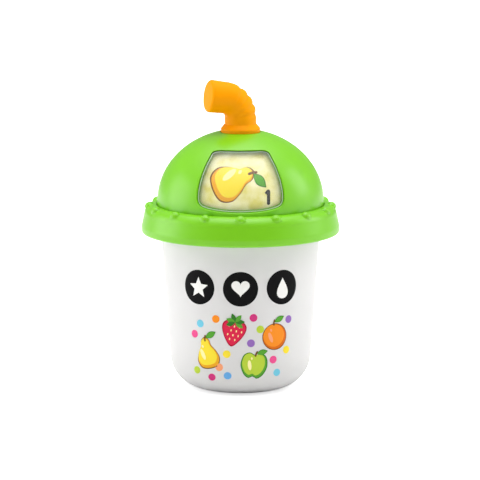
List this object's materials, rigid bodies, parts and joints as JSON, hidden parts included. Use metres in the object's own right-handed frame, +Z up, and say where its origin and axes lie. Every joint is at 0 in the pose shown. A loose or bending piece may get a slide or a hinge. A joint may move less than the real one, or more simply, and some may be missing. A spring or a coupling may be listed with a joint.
{
  "type": "toy smoothie cup",
  "caption": "Toddler's closed pretend drink: milky cup, turning grip ring with a picture drum, domed lid with a window, and a bent straw that presses down.",
  "frame": {"origin": "on the cup's axis, in the plane that it stands on", "axes": "+Z up the axis to the straw, -Y out of the window at the front, +X to the right seen from the front"},
  "size_m": [0.115, 0.115, 0.1808],
  "materials": {
    "milky_plastic": "soft gloss, milky and a little see-through",
    "green_plastic": "smooth moulded, soft gloss",
    "orange_plastic": "smooth moulded, soft gloss",
    "clear_plastic": "clear polished",
    "cream_plastic": "satin, printed",
    "white_plastic": "satin moulded",
    "black_plastic": "satin moulded",
    "steel_screw": "zinc plated",
    "spring_steel": "bright drawn",
    "nickel": "nickel plated",
    "copper": "bright strip",
    "laminate": "solder mask over glass laminate",
    "epoxy": "glossy blob",
    "clear_lamp": "clear",
    "sensor_can": "plain",
    "speaker_paper": "black pressed paper",
    "ferrite": "dark fired",
    "cell_jacket": "plain printed jacket",
    "rubber": "carbon filled",
    "red_cover": "soft cover",
    "black_cover": "soft cover"
  },
  "bodies": {
    "case": {"cup_shell": "milky_plastic", "battery_door": "milky_plastic", "door_screw": "steel_screw", "case_screw_1": "steel_screw", "case_screw_2": "steel_screw", "battery_box": "white_plastic", "battery_1": "cell_jacket", "battery_2": "cell_jacket", "contact_spring_1": "nickel", "contact_spring_2": "nickel", "contact_tab_1": "nickel", "contact_tab_2": "nickel", "contact_bridge": "nickel", "deck_plate": "white_plastic", "dome_screw_1": "steel_screw", "dome_screw_2": "steel_screw", "dome_screw_3": "steel_screw", "box_screw_1": "steel_screw", "box_screw_2": "steel_screw", "board_screw_1": "steel_screw", "board_screw_2": "steel_screw", "dome": "green_plastic", "window_lens": "clear_plastic", "top_board": "laminate", "dial_board": "laminate", "circuit_board": "laminate", "light_1": "clear_lamp", "light_2": "clear_lamp", "light_3": "clear_lamp", "sound_chip": "epoxy", "shake_sensor": "sensor_can", "detent_leaf": "spring_steel", "speaker_frame": "black_plastic", "speaker_cone": "speaker_paper", "speaker_magnet": "ferrite", "volume_switch": "black_plastic", "battery_lead_1": "red_cover", "battery_lead_2": "black_cover", "speaker_lead_1": "red_cover", "speaker_lead_2": "black_cover", "straw_spring": "spring_steel"},
    "dial": {"dial_ring": "green_plastic", "picture_drum": "cream_plastic", "drum_screw_1": "steel_screw", "drum_screw_2": "steel_screw", "drum_screw_3": "steel_screw", "drum_screw_4": "steel_screw", "dial_wiper": "copper"},
    "straw": {"straw": "orange_plastic", "straw_plunger": "white_plastic", "straw_contact": "rubber"},
    "knob": {"volume_knob": "orange_plastic"}
  },
  "joints": [
    {"name": "dial_turn", "type": "hinge", "parent": "case", "child": "dial", "pos_m": [0, 0, 0.1], "axis": [0, 0, 1], "continuous": true},
    {"name": "straw_press", "type": "slide", "parent": "case", "child": "straw", "axis": [0, 0, -1], "range_m": [0, 0.0025], "stiffness_N_per_m": 400, "springref_m": -0.003, "deforming": ["straw_spring"]},
    {"name": "volume_slide", "type": "slide", "parent": "case", "child": "knob", "axis": [-0.0545, 0.0457, 0.9975], "range_m": [0, 0.006]}
  ]
}
